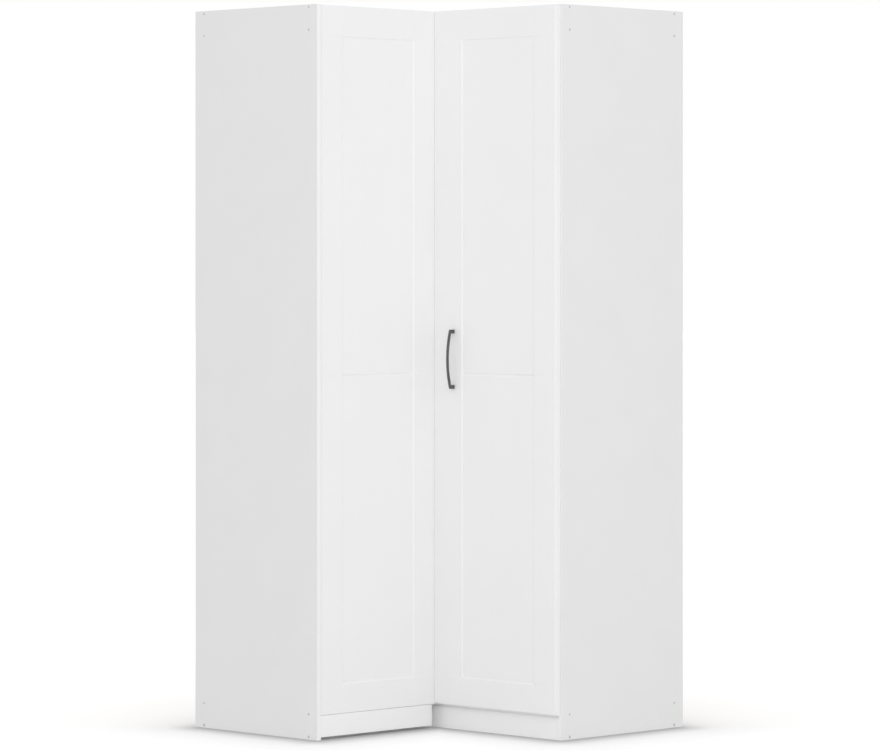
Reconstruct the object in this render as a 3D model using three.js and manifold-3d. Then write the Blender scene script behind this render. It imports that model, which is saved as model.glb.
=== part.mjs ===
// Corner wardrobe: an L-shaped cabinet for a room's corner. A framed front closes the left wing, and a
// framed door with a bow handle the right one.
// Millimetres, +Z up, origin on the floor in the middle of the plan. The walls stand at -X and +Y.
// The left wing's front faces +X and the right wing's front faces -Y.
import * as THREE from "three";
import { mergeVertices } from "three/addons/utils/BufferGeometryUtils.js";
import Module from "manifold-3d";

const wasm = await Module();
wasm.setup();

// Overall sizes
const wallLength = 1003;
const wingDepth = 515;
const wardrobeHeight = 2080;

// Boards and how they meet
const boardThickness = 16;
const seatGap = 0.3;
const cutOverrun = 3;
const baseHeight = 64;
const topRailHeight = 80;

// Door, and the fixed front that matches it
const doorThickness = 18;
const doorAirGap = 1;
const doorBottomHeight = 71;
const doorTopReveal = 2;
const frontEndGap = 2;
const hingeSideReveal = 4.5;
const cornerGap = 1;

// Milled frame on each of them: a sunk field with a sloped edge, and a V-groove across it
const fieldWidth = 289;
const frontStile = 80;
const hingeStile = 85;
const bottomRail = 81;
const topRail = 85;
const crossHeight = 958;
const fieldDepth = 3;
const fieldSlope = 4.5;
const crossHalfWidth = 3.5;
const crossDepth = 2;

// Plinths
const plinthFloorGap = 8;
const plinthFrontGap = 1.5;
const plinthEndGap = 30;

// Posts and back panels
const cornerPostLeg = 44;
const rearPostSize = 36;
const backThickness = 3;
const backInset = 10;
const backTongue = 5;
const backFloorGap = 20;

// Hat shelf and the battens that carry it
const hatSpaceHeight = 304;
const shelfSetback = 20;
const battenHeight = 30;
const battenEndInset = 60;

// Clothes rail, its sockets and its hanger
const railRadius = 12.5;
const railDrop = 70;
const railBendRadius = 100;
const railSides = 16;
const bendStations = 10;
const socketFlangeRadius = 24;
const socketFlangeThickness = 3;
const socketSleeveRadius = 16;
const socketLength = 14;
const hangerClearance = 0.7;
const hangerWall = 3;
const hangerLength = 12;
const hangerPlateSize = 44;
const hangerPlateThickness = 3;

// Connector screws: sunk flush in the side panels, two rows at the top and two at the bottom
const screwRowInset = boardThickness / 2;
const screwRowPitch = 64;
const screwFrontSetback = 34;
const screwBackSetback = 38;
const screwLength = 50;
const screwHeadRadius = 3.5;
const screwHeadDepth = 3;
const screwConeDepth = 2;
const screwShankRadius = 2.5;
const screwTipLength = 4;
const screwSocketRadius = 2;
const screwSocketDepth = 2.5;
const screwSides = 12;

// Cup hinges
const hingeEndInset = 130;
const cupRadius = 17.5;
const cupDepth = 11.5;
const cupWall = 2;
const cupFloor = 1.5;
const cupEdgeDistance = 22.5;
const cupBoreSpare = 0.5;
const cupFlangeWidth = 21;
const cupFlangeHeight = 56;
const cupFlangeThickness = 1.4;
const cupRimHeight = 0.6;
const cupSides = 24;
const plateFront = 18;
const plateLength = 48;
const plateHeight = 46;
const plateThickness = 5;
const armHeight = 10;
const armThickness = 10;
const armBack = 62;
const armCrank = 18;
const armShoulder = 7;
const armTipEdge = 22;

// Batten and screws that hold the fixed front
const frontBattenWidth = 30;
const frontScrewInset = 15;
const frontScrewEndInset = 180;
const frontScrewGrip = 12;

// Bow handle
const handleHoleSpacing = 160;
const handleCentreHeight = 1071;
const handleEdgeInset = 77.5;
const handleStrapWidth = 8.5;
const handleStrapThickness = 4.5;
const handleFootHeight = 11;
const handleFootProjection = 15.7;
const handleProjection = 27.7;
const handleArcSteps = 14;
const handleScrewGrip = 8;

// Pan-head screws of the handle and the fixed front
const panScrewRadius = 2;
const panHeadRadius = 4;
const panHeadHeight = 2;

// Places that follow from the sizes
const wall = wallLength / 2;
const leftFront = wingDepth - wall;
const rightFront = wall - wingDepth;
const panelInside = wall - boardThickness;
const boardEnd = panelInside - seatGap;
const doorSetback = doorThickness + doorAirGap;
const frontSetback = doorThickness + seatGap;
const leftCarcass = leftFront - frontSetback;
const backInside = wall - backInset - backThickness;
const boardBack = backInside - seatGap;
const topUnderside = wardrobeHeight - boardThickness;
const bottomTop = baseHeight + boardThickness;
const shelfUnderside = topUnderside - hatSpaceHeight - boardThickness;
const doorTop = wardrobeHeight - doorTopReveal;
const railFront = screwFrontSetback - boardThickness / 2;
const railBack = screwBackSetback - boardThickness / 2;

const white = { color: 0xf1f1f0, roughness: 0.45, metalness: 0 };
const finishes = {
  melamine: white,
  lacquer: { color: 0xf3f3f2, roughness: 0.35, metalness: 0 },
  hardboard: { color: 0xe9e8e4, roughness: 0.7, metalness: 0 },
  steel: { color: 0xb9bcbf, roughness: 0.35, metalness: 1 },
  screw: { color: 0x8d9093, roughness: 0.45, metalness: 0.9 },
  handle: { color: 0x55575a, roughness: 0.45, metalness: 0.8 },
};

const wardrobe = new THREE.Group();

function add(name, geometry, finish, parent = wardrobe) {
  const mesh = new THREE.Mesh(geometry, new THREE.MeshStandardMaterial(finishes[finish]));
  mesh.name = name;
  parent.add(mesh);
  return mesh;
}

// A box from its low and high places along X, Y and Z.
function block([x0, x1], [y0, y1], [z0, z1]) {
  const box = new THREE.BoxGeometry(x1 - x0, y1 - y0, z1 - z0);
  return box.translate((x0 + x1) / 2, (y0 + y1) / 2, (z0 + z1) / 2);
}

// The range of places on the other side of the origin.
function mirrored([from, to]) {
  return [-to, -from];
}

// A flat board of any outline, lying level from its underside up.
function levelBoard(outline, underside, thickness = boardThickness) {
  const shape = new THREE.Shape(outline.map(([x, y]) => new THREE.Vector2(x, y)));
  const board = new THREE.ExtrudeGeometry(shape, { depth: thickness, bevelEnabled: false });
  return board.translate(0, 0, underside);
}

// Joins rings of points, each counter-clockwise about the way they run, into one closed skin.
function skin(rings, looped) {
  const count = rings[0].length;
  const index = [];
  const spans = looped ? rings.length : rings.length - 1;
  for (let i = 0; i < spans; i++) {
    const here = i * count;
    const next = ((i + 1) % rings.length) * count;
    for (let j = 0; j < count; j++) {
      const k = (j + 1) % count;
      index.push(here + j, here + k, next + k, here + j, next + k, next + j);
    }
  }
  const last = (rings.length - 1) * count;
  for (let j = 1; !looped && j < count - 1; j++) {
    index.push(0, j + 1, j, last, last + j, last + j + 1);
  }
  const geometry = new THREE.BufferGeometry();
  geometry.setAttribute("position", new THREE.Float32BufferAttribute(rings.flat(2), 3));
  geometry.setIndex(index);
  return geometry;
}

function solidOf(geometry) {
  const bare = geometry.clone();
  bare.deleteAttribute("normal");
  bare.deleteAttribute("uv");
  const merged = mergeVertices(bare);
  const vertProperties = merged.attributes.position.array;
  const triVerts = new Uint32Array(merged.index.array);
  return new wasm.Manifold(new wasm.Mesh({ numProp: 3, vertProperties, triVerts }));
}

function geometryOf(solid) {
  const mesh = solid.getMesh();
  const geometry = new THREE.BufferGeometry();
  geometry.setAttribute("position", new THREE.BufferAttribute(mesh.vertProperties, 3));
  geometry.setIndex(new THREE.BufferAttribute(mesh.triVerts, 1));
  const faceted = geometry.toNonIndexed();
  faceted.computeVertexNormals();
  return faceted;
}

function cut(geometry, cutters) {
  const start = solidOf(geometry);
  return geometryOf(cutters.reduce((body, cutter) => body.subtract(solidOf(cutter)), start));
}

function join(geometries) {
  const [first, ...rest] = geometries.map(solidOf);
  return geometryOf(rest.reduce((body, next) => body.add(next), first));
}

// A connector screw's turned shape about Y, head outwards at zero. Spare is the clearance of its hole.
function connectorShape(spare = 0, overrun = 0) {
  const neck = screwHeadDepth + screwConeDepth;
  const body = [
    [0, -screwLength - spare],
    [screwShankRadius / 2 + spare, -screwLength - spare],
    [screwShankRadius + spare, screwTipLength - screwLength],
    [screwShankRadius + spare, -neck],
    [screwHeadRadius + spare, -screwHeadDepth],
    [screwHeadRadius + spare, overrun],
  ];
  const socket = [
    [screwSocketRadius, overrun],
    [screwSocketRadius, -screwSocketDepth],
    [0, -screwSocketDepth],
  ];
  const profile = overrun ? [...body, [0, overrun]] : [...body, ...socket];
  return new THREE.LatheGeometry(profile.map(([r, y]) => new THREE.Vector2(r, y)), screwSides);
}

// Where each connector screw goes, with the matrix that turns its head out of the panel.
const connectorRows = {
  foot: screwRowInset,
  base: screwRowInset + screwRowPitch,
  head: wardrobeHeight - screwRowInset - screwRowPitch,
  top: wardrobeHeight - screwRowInset,
};
const connectors = Object.entries(connectorRows).flatMap(([row, z]) =>
  [
    ["front", wingDepth - screwFrontSetback],
    ["back", screwBackSetback],
  ].flatMap(([place, fromWall]) => [
    {
      name: `left_connector_${row}_${place}`,
      matrix: new THREE.Matrix4().makeRotationX(Math.PI).setPosition(fromWall - wall, -wall, z),
    },
    {
      name: `right_connector_${row}_${place}`,
      matrix: new THREE.Matrix4().makeRotationZ(-Math.PI / 2).setPosition(wall, wall - fromWall, z),
    },
  ]),
);
const connectorHoles = connectors.map(({ matrix }) =>
  connectorShape(seatGap, cutOverrun).applyMatrix4(matrix),
);

function addConnectors() {
  for (const { name, matrix } of connectors) {
    add(name, connectorShape().applyMatrix4(matrix), "screw");
  }
}

// Side panels: each has a groove near its back edge that holds a back panel.
function addSidePanels() {
  const height = [0, wardrobeHeight];
  const grooveHeight = [-cutOverrun, wardrobeHeight + cutOverrun];
  const grooveEnd = panelInside + backTongue + seatGap;
  const grooveAcross = [-wall + backInset - seatGap, -wall + backInset + backThickness + seatGap];
  const left = block([-wall, leftFront], [-wall, -panelInside], height);
  const leftGroove = block(grooveAcross, [-grooveEnd, cutOverrun - panelInside], grooveHeight);
  add("left_side_panel", cut(left, [leftGroove, ...connectorHoles]), "melamine");
  const right = block([panelInside, wall], [rightFront, wall], height);
  const rightGroove = block([panelInside - cutOverrun, grooveEnd], mirrored(grooveAcross), grooveHeight);
  add("right_side_panel", cut(right, [rightGroove, ...connectorHoles]), "melamine");
}

// An L from the left panel round to the right one, with its back edges at the given distance from the origin.
function lOutline(back) {
  return [
    [-back, -boardEnd],
    [leftCarcass, -boardEnd],
    [leftCarcass, rightFront],
    [boardEnd, rightFront],
    [boardEnd, back],
    [-back, back],
  ];
}

function addLevelBoards() {
  add("top_board", cut(levelBoard(lOutline(wall), topUnderside), connectorHoles), "melamine");
  add("bottom_board", cut(levelBoard(lOutline(boardBack), baseHeight), connectorHoles), "melamine");
}

// The hat shelf is notched round the square post and stops short of the corner post.
function addHatShelf() {
  const frontX = leftCarcass - shelfSetback;
  const frontY = rightFront + shelfSetback;
  const notch = boardBack - rearPostSize - seatGap;
  const outline = [
    [-boardBack, -boardEnd],
    [frontX, -boardEnd],
    [frontX, frontY],
    [boardEnd, frontY],
    [boardEnd, boardBack],
    [-notch, boardBack],
    [-notch, notch],
    [-boardBack, notch],
  ];
  add("hat_shelf", levelBoard(outline, shelfUnderside), "melamine");
  const height = [shelfUnderside - seatGap - battenHeight, shelfUnderside - seatGap];
  const along = [battenEndInset - wall, leftFront - battenEndInset];
  const across = [-boardEnd, boardThickness - boardEnd];
  add("left_shelf_batten", block(along, across, height), "melamine");
  add("right_shelf_batten", block(mirrored(across), mirrored(along), height), "melamine");
}

// Rails on edge under the top board and under the bottom board, screwed through the side panels.
function addRails() {
  const upper = [topUnderside - seatGap - topRailHeight, topUnderside - seatGap];
  const lower = [0, baseHeight - seatGap];
  const leftFrontAcross = [leftFront - railFront - boardThickness, leftFront - railFront];
  const rightFrontAcross = [rightFront + railFront, rightFront + railFront + boardThickness];
  const leftBackAcross = [railBack - wall, railBack + boardThickness - wall];
  const rightBackAcross = [wall - railBack - boardThickness, wall - railBack];
  const rearPostFace = boardBack - rearPostSize - seatGap;
  const fromPanel = (end) => [-boardEnd, end - seatGap];
  const toPanel = (start) => [start, boardEnd];
  const rails = [
    ["left_top_rail_front", leftFrontAcross, fromPanel(rightFront - cornerPostLeg), upper],
    ["right_top_rail_front", toPanel(leftCarcass - boardThickness), rightFrontAcross, upper],
    ["left_top_rail_back", leftBackAcross, fromPanel(rearPostFace), upper],
    ["right_top_rail_back", toPanel(-rearPostFace), rightBackAcross, upper],
    ["left_base_rail_front", leftFrontAcross, fromPanel(rightFrontAcross[0]), lower],
    ["right_base_rail_front", toPanel(leftFrontAcross[0]), rightFrontAcross, lower],
    ["left_base_rail_back", leftBackAcross, fromPanel(rightBackAcross[0]), lower],
    ["right_base_rail_back", toPanel(leftBackAcross[0]), rightBackAcross, lower],
  ];
  for (const [name, x, y, z] of rails) {
    add(name, cut(block(x, y, z), connectorHoles), "melamine");
  }
}

// The left plinth is flush with its front and hangs clear of the floor, packed out from the base rail.
// The right one stands on the floor behind its door.
function addPlinths() {
  const leftBack = leftFront - boardThickness;
  const leftAlong = [-boardEnd, rightFront - plinthEndGap];
  const leftHeight = [plinthFloorGap, doorBottomHeight - plinthFrontGap];
  add("left_plinth", block([leftBack, leftFront], leftAlong, leftHeight), "melamine");
  const packingAcross = [leftFront - railFront + seatGap, leftBack - seatGap];
  const packing = block(packingAcross, leftAlong, [plinthFloorGap, baseHeight - seatGap]);
  add("left_plinth_packing", packing, "melamine");
  const rightAlong = [leftFront - railFront + seatGap, boardEnd];
  const rightAcross = [rightFront, rightFront + boardThickness];
  add("right_plinth", block(rightAlong, rightAcross, [0, baseHeight - seatGap]), "melamine");
}

// An angled post behind the corner, with one leg behind each front, and a square post in the room's corner.
function addPosts() {
  const underside = bottomTop + seatGap;
  const height = topUnderside - seatGap - underside;
  const outline = [
    [leftCarcass - boardThickness, rightFront - cornerPostLeg],
    [leftCarcass, rightFront - cornerPostLeg],
    [leftCarcass, rightFront],
    [leftCarcass + cornerPostLeg, rightFront],
    [leftCarcass + cornerPostLeg, rightFront + boardThickness],
    [leftCarcass - boardThickness, rightFront + boardThickness],
  ];
  const post = cut(levelBoard(outline, underside, height), frontScrewHoles());
  add("corner_post", post, "melamine");
  const across = [boardBack - rearPostSize, boardBack];
  const along = [-boardBack, rearPostSize - boardBack];
  add("rear_corner_post", block(along, across, [underside, underside + height]), "melamine");
}

function addBackPanels() {
  const height = [backFloorGap, topUnderside - seatGap];
  const tongueEnd = panelInside + backTongue;
  const backOutside = wall - backInset;
  add("left_back_panel", block([-backOutside, -backInside], [-tongueEnd, backOutside], height), "hardboard");
  add("right_back_panel", block([-boardBack, tongueEnd], [backInside, backOutside], height), "hardboard");
}

// A turned shape about Y from its points of radius and height, as a closed ring or from axis to axis.
function turned(points, sides) {
  return new THREE.LatheGeometry(points.map(([r, y]) => new THREE.Vector2(r, y)), sides);
}

// One rail follows both wings and bends in the corner. Sockets hold its ends, a hanger its middle.
function addClothesRail() {
  const centre = wall - wingDepth / 2;
  const height = shelfUnderside - railDrop;
  const bendCentre = centre - railBendRadius;
  const stations = [{ x: -centre, y: -boardEnd, turn: 0 }];
  for (let i = 0; i <= bendStations; i++) {
    const turn = (Math.PI / 2) * (i / bendStations);
    const x = -bendCentre - railBendRadius * Math.cos(turn);
    const y = bendCentre + railBendRadius * Math.sin(turn);
    stations.push({ x, y, turn });
  }
  stations.push({ x: boardEnd, y: centre, turn: Math.PI / 2 });
  const rings = stations.map(({ x, y, turn }) =>
    Array.from({ length: railSides }, (_, i) => {
      const around = (2 * Math.PI * i) / railSides;
      const out = -railRadius * Math.cos(around);
      return [x + out * Math.cos(turn), y - out * Math.sin(turn), height + railRadius * Math.sin(around)];
    }),
  );
  add("clothes_rail", skin(rings, false), "steel");

  const bore = railRadius + seatGap;
  const socket = [
    [bore, 0],
    [socketFlangeRadius, 0],
    [socketFlangeRadius, socketFlangeThickness],
    [socketSleeveRadius, socketFlangeThickness],
    [socketSleeveRadius, socketLength],
    [bore, socketLength],
    [bore, 0],
  ];
  const leftSocket = add("left_rail_socket", turned(socket, railSides), "steel");
  leftSocket.position.set(-centre, -boardEnd, height);
  const rightSocket = add("right_rail_socket", turned(socket, railSides), "steel");
  rightSocket.position.set(boardEnd, centre, height);
  rightSocket.rotation.z = Math.PI / 2;

  const inner = railRadius + hangerClearance;
  const outer = inner + hangerWall;
  const top = railDrop - seatGap;
  const plate = hangerPlateSize / 2;
  const halfLength = hangerLength / 2;
  const ring = [
    [inner, -halfLength],
    [outer, -halfLength],
    [outer, halfLength],
    [inner, halfLength],
    [inner, -halfLength],
  ];
  const stem = block([-halfLength, halfLength], [-halfLength, halfLength], [inner + hangerWall / 2, top]);
  const cap = block([-plate, plate], [-plate, plate], [top - hangerPlateThickness, top]);
  const hanger = add("rail_hanger", join([turned(ring, railSides), stem, cap]), "steel");
  const middle = bendCentre + railBendRadius * Math.SQRT1_2;
  hanger.position.set(-middle, middle, height);
  hanger.rotation.z = -Math.PI / 4;
}

// Cutters for the milled frame: the sunk field from edge to edge of its slope, and the groove on its floor.
function frameCutters(setback, u0) {
  const u1 = u0 + fieldWidth;
  const z0 = doorBottomHeight + bottomRail;
  const z1 = doorTop - topRail;
  const floor = fieldDepth - setback;
  const ring = (inset, w) => [
    [u0 + inset, w, z0 + inset],
    [u1 - inset, w, z0 + inset],
    [u1 - inset, w, z1 - inset],
    [u0 + inset, w, z1 - inset],
  ];
  const steepness = fieldSlope / fieldDepth;
  const field = skin([ring(fieldSlope, floor), ring(-cutOverrun * steepness, -setback - cutOverrun)], false);
  const cross = doorBottomHeight + crossHeight;
  const ends = [u0 + fieldSlope, u1 - fieldSlope];
  const groove = ends.map((u) => [
    [u, floor - cutOverrun, cross + crossHalfWidth],
    [u, floor - cutOverrun, cross - crossHalfWidth],
    [u, floor, cross - crossHalfWidth],
    [u, floor + crossDepth, cross],
    [u, floor, cross + crossHalfWidth],
  ]);
  return [field, skin(groove, false)];
}

// A plain cylinder along the depth of a wing, from one depth to another.
function depthCylinder(radius, [w0, w1], u, z, sides) {
  return new THREE.CylinderGeometry(radius, radius, w1 - w0, sides).translate(u, (w0 + w1) / 2, z);
}

// A framed leaf from its hinge or panel end at u = 0, with its front face the setback before the carcass.
function framedLeaf(setback, width, stile, cutters) {
  const across = [-setback, doorThickness - setback];
  const blank = block([0, width], across, [doorBottomHeight, doorTop]);
  return cut(blank, [...frameCutters(setback, stile), ...cutters]);
}

// A pan-head screw along the depth of a wing, its head behind what it holds.
function panScrew(u, z, headStart, tip) {
  const headEnd = headStart + panHeadHeight;
  const head = depthCylinder(panHeadRadius, [headStart, headEnd], u, z, screwSides);
  const shankEnd = (headStart + headEnd) / 2;
  return join([head, depthCylinder(panScrewRadius, [tip, shankEnd], u, z, screwSides)]);
}

function panScrewHole(u, z, headStart, tip) {
  return depthCylinder(panScrewRadius + seatGap, [tip - seatGap, headStart], u, z, screwSides);
}

// The hinged door, drawn with u across it from its hinge edge and w back from the carcass front. The
// carcass stands at w = 0 and the door's back at minus the air gap.
function addDoor(parent, width, handleHoles) {
  const doorBack = -doorAirGap;
  const cupBase = doorBack - cupDepth;
  const plateBase = boardThickness - hingeSideReveal + seatGap;
  const armStart = plateBase + plateThickness / 2;
  const armFace = armStart + armThickness;
  const tipEnd = armTipEdge + armThickness;
  const tipReach = cupBase + cupFloor + seatGap;
  const outline = [
    [armStart, armBack],
    [armFace, armBack],
    [armFace, armCrank],
    [tipEnd, armShoulder],
    [tipEnd, tipReach],
    [armTipEdge, tipReach],
    [armTipEdge, doorAirGap],
    [armStart, armShoulder],
  ];
  const cupCylinder = (radius, across, z) =>
    depthCylinder(radius, across, cupEdgeDistance, z, cupSides);
  const lowest = doorBottomHeight + hingeEndInset;
  const highest = doorTop - hingeEndInset;
  const heights = { lower: lowest, middle: (lowest + highest) / 2, upper: highest };
  const bores = [];
  for (const [name, z] of Object.entries(heights)) {
    const boreEnds = [cupBase - cupBoreSpare, doorBack + cutOverrun];
    bores.push(cupCylinder(cupRadius + seatGap, boreEnds, z));
    const flange = block(
      [cupEdgeDistance - cupFlangeWidth / 2, cupEdgeDistance + cupFlangeWidth / 2],
      [doorBack + seatGap, doorBack + cupFlangeThickness],
      [z - cupFlangeHeight / 2, z + cupFlangeHeight / 2],
    );
    const shell = join([cupCylinder(cupRadius, [cupBase, doorBack + cupRimHeight], z), flange]);
    const hollow = cupCylinder(cupRadius - cupWall, [cupBase + cupFloor, doorBack + cutOverrun], z);
    add(`hinge_cup_${name}`, cut(shell, [hollow]), "steel", parent);

    const plate = block(
      [plateBase, plateBase + plateThickness],
      [plateFront, plateFront + plateLength],
      [z - plateHeight / 2, z + plateHeight / 2],
    );
    const arm = levelBoard(outline, z - armHeight / 2, armHeight);
    add(`hinge_arm_${name}`, join([plate, arm]), "steel", parent);
  }
  const leaf = framedLeaf(doorSetback, width, hingeStile, [...bores, ...handleHoles]);
  add("right_door", leaf, "lacquer", parent);
}

// The bow handle, drawn with its length along X and its projection along Y, then stood on the door.
function addHandle(parent, u) {
  const halfWidth = handleStrapWidth / 2;
  const outerHalf = (handleHoleSpacing + handleFootHeight) / 2;
  const innerHalf = (handleHoleSpacing - handleFootHeight) / 2;
  const innerEnd = handleFootProjection - handleStrapThickness / 2;
  const innerTop = handleProjection - handleStrapThickness;
  const arc = (half, low, high, steps) => {
    const rise = high - low;
    const radius = (half * half + rise * rise) / (2 * rise);
    const spread = Math.asin(half / radius);
    return Array.from({ length: steps + 1 }, (_, i) => {
      const angle = spread * (1 - (2 * i) / steps);
      return new THREE.Vector2(radius * Math.sin(angle), high - radius + radius * Math.cos(angle));
    });
  };
  const outline = [
    new THREE.Vector2(outerHalf, 0),
    ...arc(outerHalf, handleFootProjection, handleProjection, handleArcSteps),
    new THREE.Vector2(-outerHalf, 0),
    new THREE.Vector2(-innerHalf, 0),
    ...arc(innerHalf, innerEnd, innerTop, handleArcSteps).reverse(),
    new THREE.Vector2(innerHalf, 0),
  ];
  const upright = new THREE.Matrix4().makeBasis(
    new THREE.Vector3(0, 0, 1),
    new THREE.Vector3(0, -1, 0),
    new THREE.Vector3(1, 0, 0),
  );
  upright.setPosition(u - halfWidth, -doorSetback - seatGap, handleCentreHeight);
  const bow = new THREE.ExtrudeGeometry(new THREE.Shape(outline), {
    depth: handleStrapWidth,
    bevelEnabled: false,
  }).applyMatrix4(upright);
  const heights = {
    lower: handleCentreHeight - handleHoleSpacing / 2,
    upper: handleCentreHeight + handleHoleSpacing / 2,
  };
  const headStart = seatGap - doorAirGap;
  const tip = -doorSetback - handleScrewGrip;
  const holes = Object.values(heights).map((z) => panScrewHole(u, z, headStart, tip));
  add("handle", cut(bow, holes), "handle", parent);
  for (const [name, z] of Object.entries(heights)) {
    add(`handle_screw_${name}`, panScrew(u, z, headStart, tip), "screw", parent);
  }
  return holes;
}

// The fixed front stands between the left panel and the corner post's leg, flush with the panel's edge. It is
// screwed from inside through a batten and the post. It is drawn with u along the wing from its panel end.
const frontStart = frontEndGap - panelInside;
const frontWidth = rightFront - seatGap - frontStart;
const frontFrame = new THREE.Matrix4().makeRotationZ(Math.PI / 2).setPosition(leftCarcass, frontStart, 0);
const frontScrewHead = boardThickness + seatGap;
const frontScrewTip = -seatGap - frontScrewGrip;

function frontScrewPlaces() {
  const alongs = {
    panel: frontScrewInset - frontEndGap + seatGap,
    corner: frontWidth - cornerPostLeg / 2,
  };
  const heights = {
    lower: doorBottomHeight + frontScrewEndInset,
    upper: doorTop - frontScrewEndInset,
  };
  return Object.entries(alongs).flatMap(([end, u]) =>
    Object.entries(heights).map(([row, z]) => ({ name: `front_screw_${end}_${row}`, u, z })),
  );
}

function frontScrewHoles() {
  return frontScrewPlaces().map(({ u, z }) =>
    panScrewHole(u, z, frontScrewHead, frontScrewTip).applyMatrix4(frontFrame),
  );
}

function addFixedFront() {
  const holes = frontScrewHoles();
  const leaf = framedLeaf(frontSetback, frontWidth, frontStile, []).applyMatrix4(frontFrame);
  add("left_front", cut(leaf, holes), "lacquer");
  const battenTop = topUnderside - seatGap - topRailHeight - seatGap;
  const batten = block(
    [leftCarcass - boardThickness, leftCarcass],
    [-boardEnd, frontBattenWidth - boardEnd],
    [bottomTop + seatGap, battenTop],
  );
  add("left_front_batten", cut(batten, holes), "melamine");
  for (const { name, u, z } of frontScrewPlaces()) {
    const screw = panScrew(u, z, frontScrewHead, frontScrewTip);
    add(name, screw.applyMatrix4(frontFrame), "screw");
  }
}

// The door laps the right panel's front edge. Its group mirrors it, so that u runs from the right.
function addHingedDoor() {
  const hingeEdge = wall - hingeSideReveal;
  const doorWidth = hingeEdge - leftFront - cornerGap;
  const fittings = new THREE.Group();
  fittings.position.set(hingeEdge, rightFront, 0);
  fittings.scale.x = -1;
  wardrobe.add(fittings);
  addDoor(fittings, doorWidth, addHandle(fittings, doorWidth - handleEdgeInset));
}

addSidePanels();
addLevelBoards();
addHatShelf();
addRails();
addPlinths();
addPosts();
addBackPanels();
addClothesRail();
addFixedFront();
addHingedDoor();
addConnectors();

export default wardrobe;
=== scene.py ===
"""Corner wardrobe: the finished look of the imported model, laid out as an add-on."""

import math

import bmesh
import bpy
from bpy.props import FloatProperty, FloatVectorProperty, IntProperty, PointerProperty
from mathutils import Matrix, Vector


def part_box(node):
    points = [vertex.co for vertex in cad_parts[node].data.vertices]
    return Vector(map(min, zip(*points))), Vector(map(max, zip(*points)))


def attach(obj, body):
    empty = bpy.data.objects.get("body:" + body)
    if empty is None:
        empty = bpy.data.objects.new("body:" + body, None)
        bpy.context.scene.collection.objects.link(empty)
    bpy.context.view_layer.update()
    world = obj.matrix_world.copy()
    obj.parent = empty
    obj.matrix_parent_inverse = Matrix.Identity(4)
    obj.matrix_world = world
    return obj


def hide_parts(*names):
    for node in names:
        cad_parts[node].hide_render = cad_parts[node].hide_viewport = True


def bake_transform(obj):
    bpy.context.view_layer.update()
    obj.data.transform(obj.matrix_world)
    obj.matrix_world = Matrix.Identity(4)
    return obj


bl_info = {
    "name": "Corner wardrobe",
    "version": (1, 0, 0),
    "blender": (4, 5, 0),
    "location": "3D Viewport > Sidebar > Wardrobe",
    "description": "Dresses the packed corner wardrobe with its boards, fronts, fittings and studio",
    "category": "Add Mesh",
}

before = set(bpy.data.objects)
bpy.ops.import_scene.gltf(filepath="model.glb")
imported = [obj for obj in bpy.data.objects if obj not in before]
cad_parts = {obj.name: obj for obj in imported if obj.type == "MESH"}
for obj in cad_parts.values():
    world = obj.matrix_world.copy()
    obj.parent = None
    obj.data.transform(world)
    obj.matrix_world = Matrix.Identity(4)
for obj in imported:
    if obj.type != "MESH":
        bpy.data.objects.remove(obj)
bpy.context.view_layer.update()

MM = 0.001
QUARTER_TURN = math.pi / 2
PHOTO_WIDTH = 880
PHOTO_HEIGHT = 751

CARCASS = "carcass"
DOOR = "door_leaf"
LEVELS = ("lower", "middle", "upper")
SIDE_PANELS = ["left_side_panel", "right_side_panel"]
PLINTHS = ["left_plinth", "right_plinth"]
PAIRED = ("shelf_batten", "top_rail_front", "top_rail_back", "base_rail_front", "base_rail_back")
BOARDS = ["top_board", "bottom_board", "hat_shelf"]
BOARDS += [f"{wing}_{part}" for part in PAIRED for wing in ("left", "right")]
BOARDS += ["corner_post", "rear_corner_post", "left_front_batten", "left_plinth_packing"]
# Boards that go to the wall or the floor, where their sawn edges have no band.
SAWN = [*SIDE_PANELS, "top_board", "bottom_board", "hat_shelf"]

# Edges nearer to flat than the first angle are dissolved, and those above the second are rounded.
FLAT_ANGLE = math.radians(0.5)
ROUNDED_ANGLE = math.radians(40)
# Shading breaks at edges above these angles.
CRISP_ANGLE = math.radians(35)
SOFT_ANGLE = math.radians(50)
WELD_DISTANCE = 0.01 * MM
FLAT_CELL = 0.001 * MM
SHORTEST_BOARD_EDGE = 12 * MM
# A face looks along a way when its normal's share there is above the first of these, mostly that way above
# the second, and across it below the third.
ALONG = 0.9
MOSTLY = 0.5
ACROSS = 0.1
ROUND_SIDES = 48


# Colours and shader nodes


def linear(code):
    """An sRGB hex value, such as F1F1F0, as linear red, green and blue."""
    shares = [int(code[i : i + 2], 16) / 255 for i in (0, 2, 4)]
    return [s / 12.92 if s <= 0.04045 else ((s + 0.055) / 1.055) ** 2.4 for s in shares]


def toned(colour, share):
    """A linear colour made darker, or brighter, by a share."""
    return [min(1.0, c * share) for c in colour]


def add_node(tree, kind, inputs=None, **settings):
    """Adds a node. Among the input values a socket is linked, a node is linked by its first output, and any
    other value is set."""
    made = tree.nodes.new(kind)
    for name, value in settings.items():
        setattr(made, name, value)
    for key, value in (inputs or {}).items():
        if isinstance(value, bpy.types.Node):
            value = value.outputs[0]
        if isinstance(value, bpy.types.NodeSocket):
            tree.links.new(value, made.inputs[key])
        else:
            made.inputs[key].default_value = value
    return made


def new_material(name):
    """An empty node material, its tree, and Object coordinates in millimetres."""
    material = bpy.data.materials.new(name)
    material.use_nodes = True
    tree = material.node_tree
    tree.nodes.clear()
    coordinates = add_node(tree, "ShaderNodeTexCoord")
    inputs = {"Vector": coordinates.outputs["Object"], "Scale": (1 / MM, 1 / MM, 1 / MM)}
    return material, tree, add_node(tree, "ShaderNodeMapping", inputs)


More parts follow.
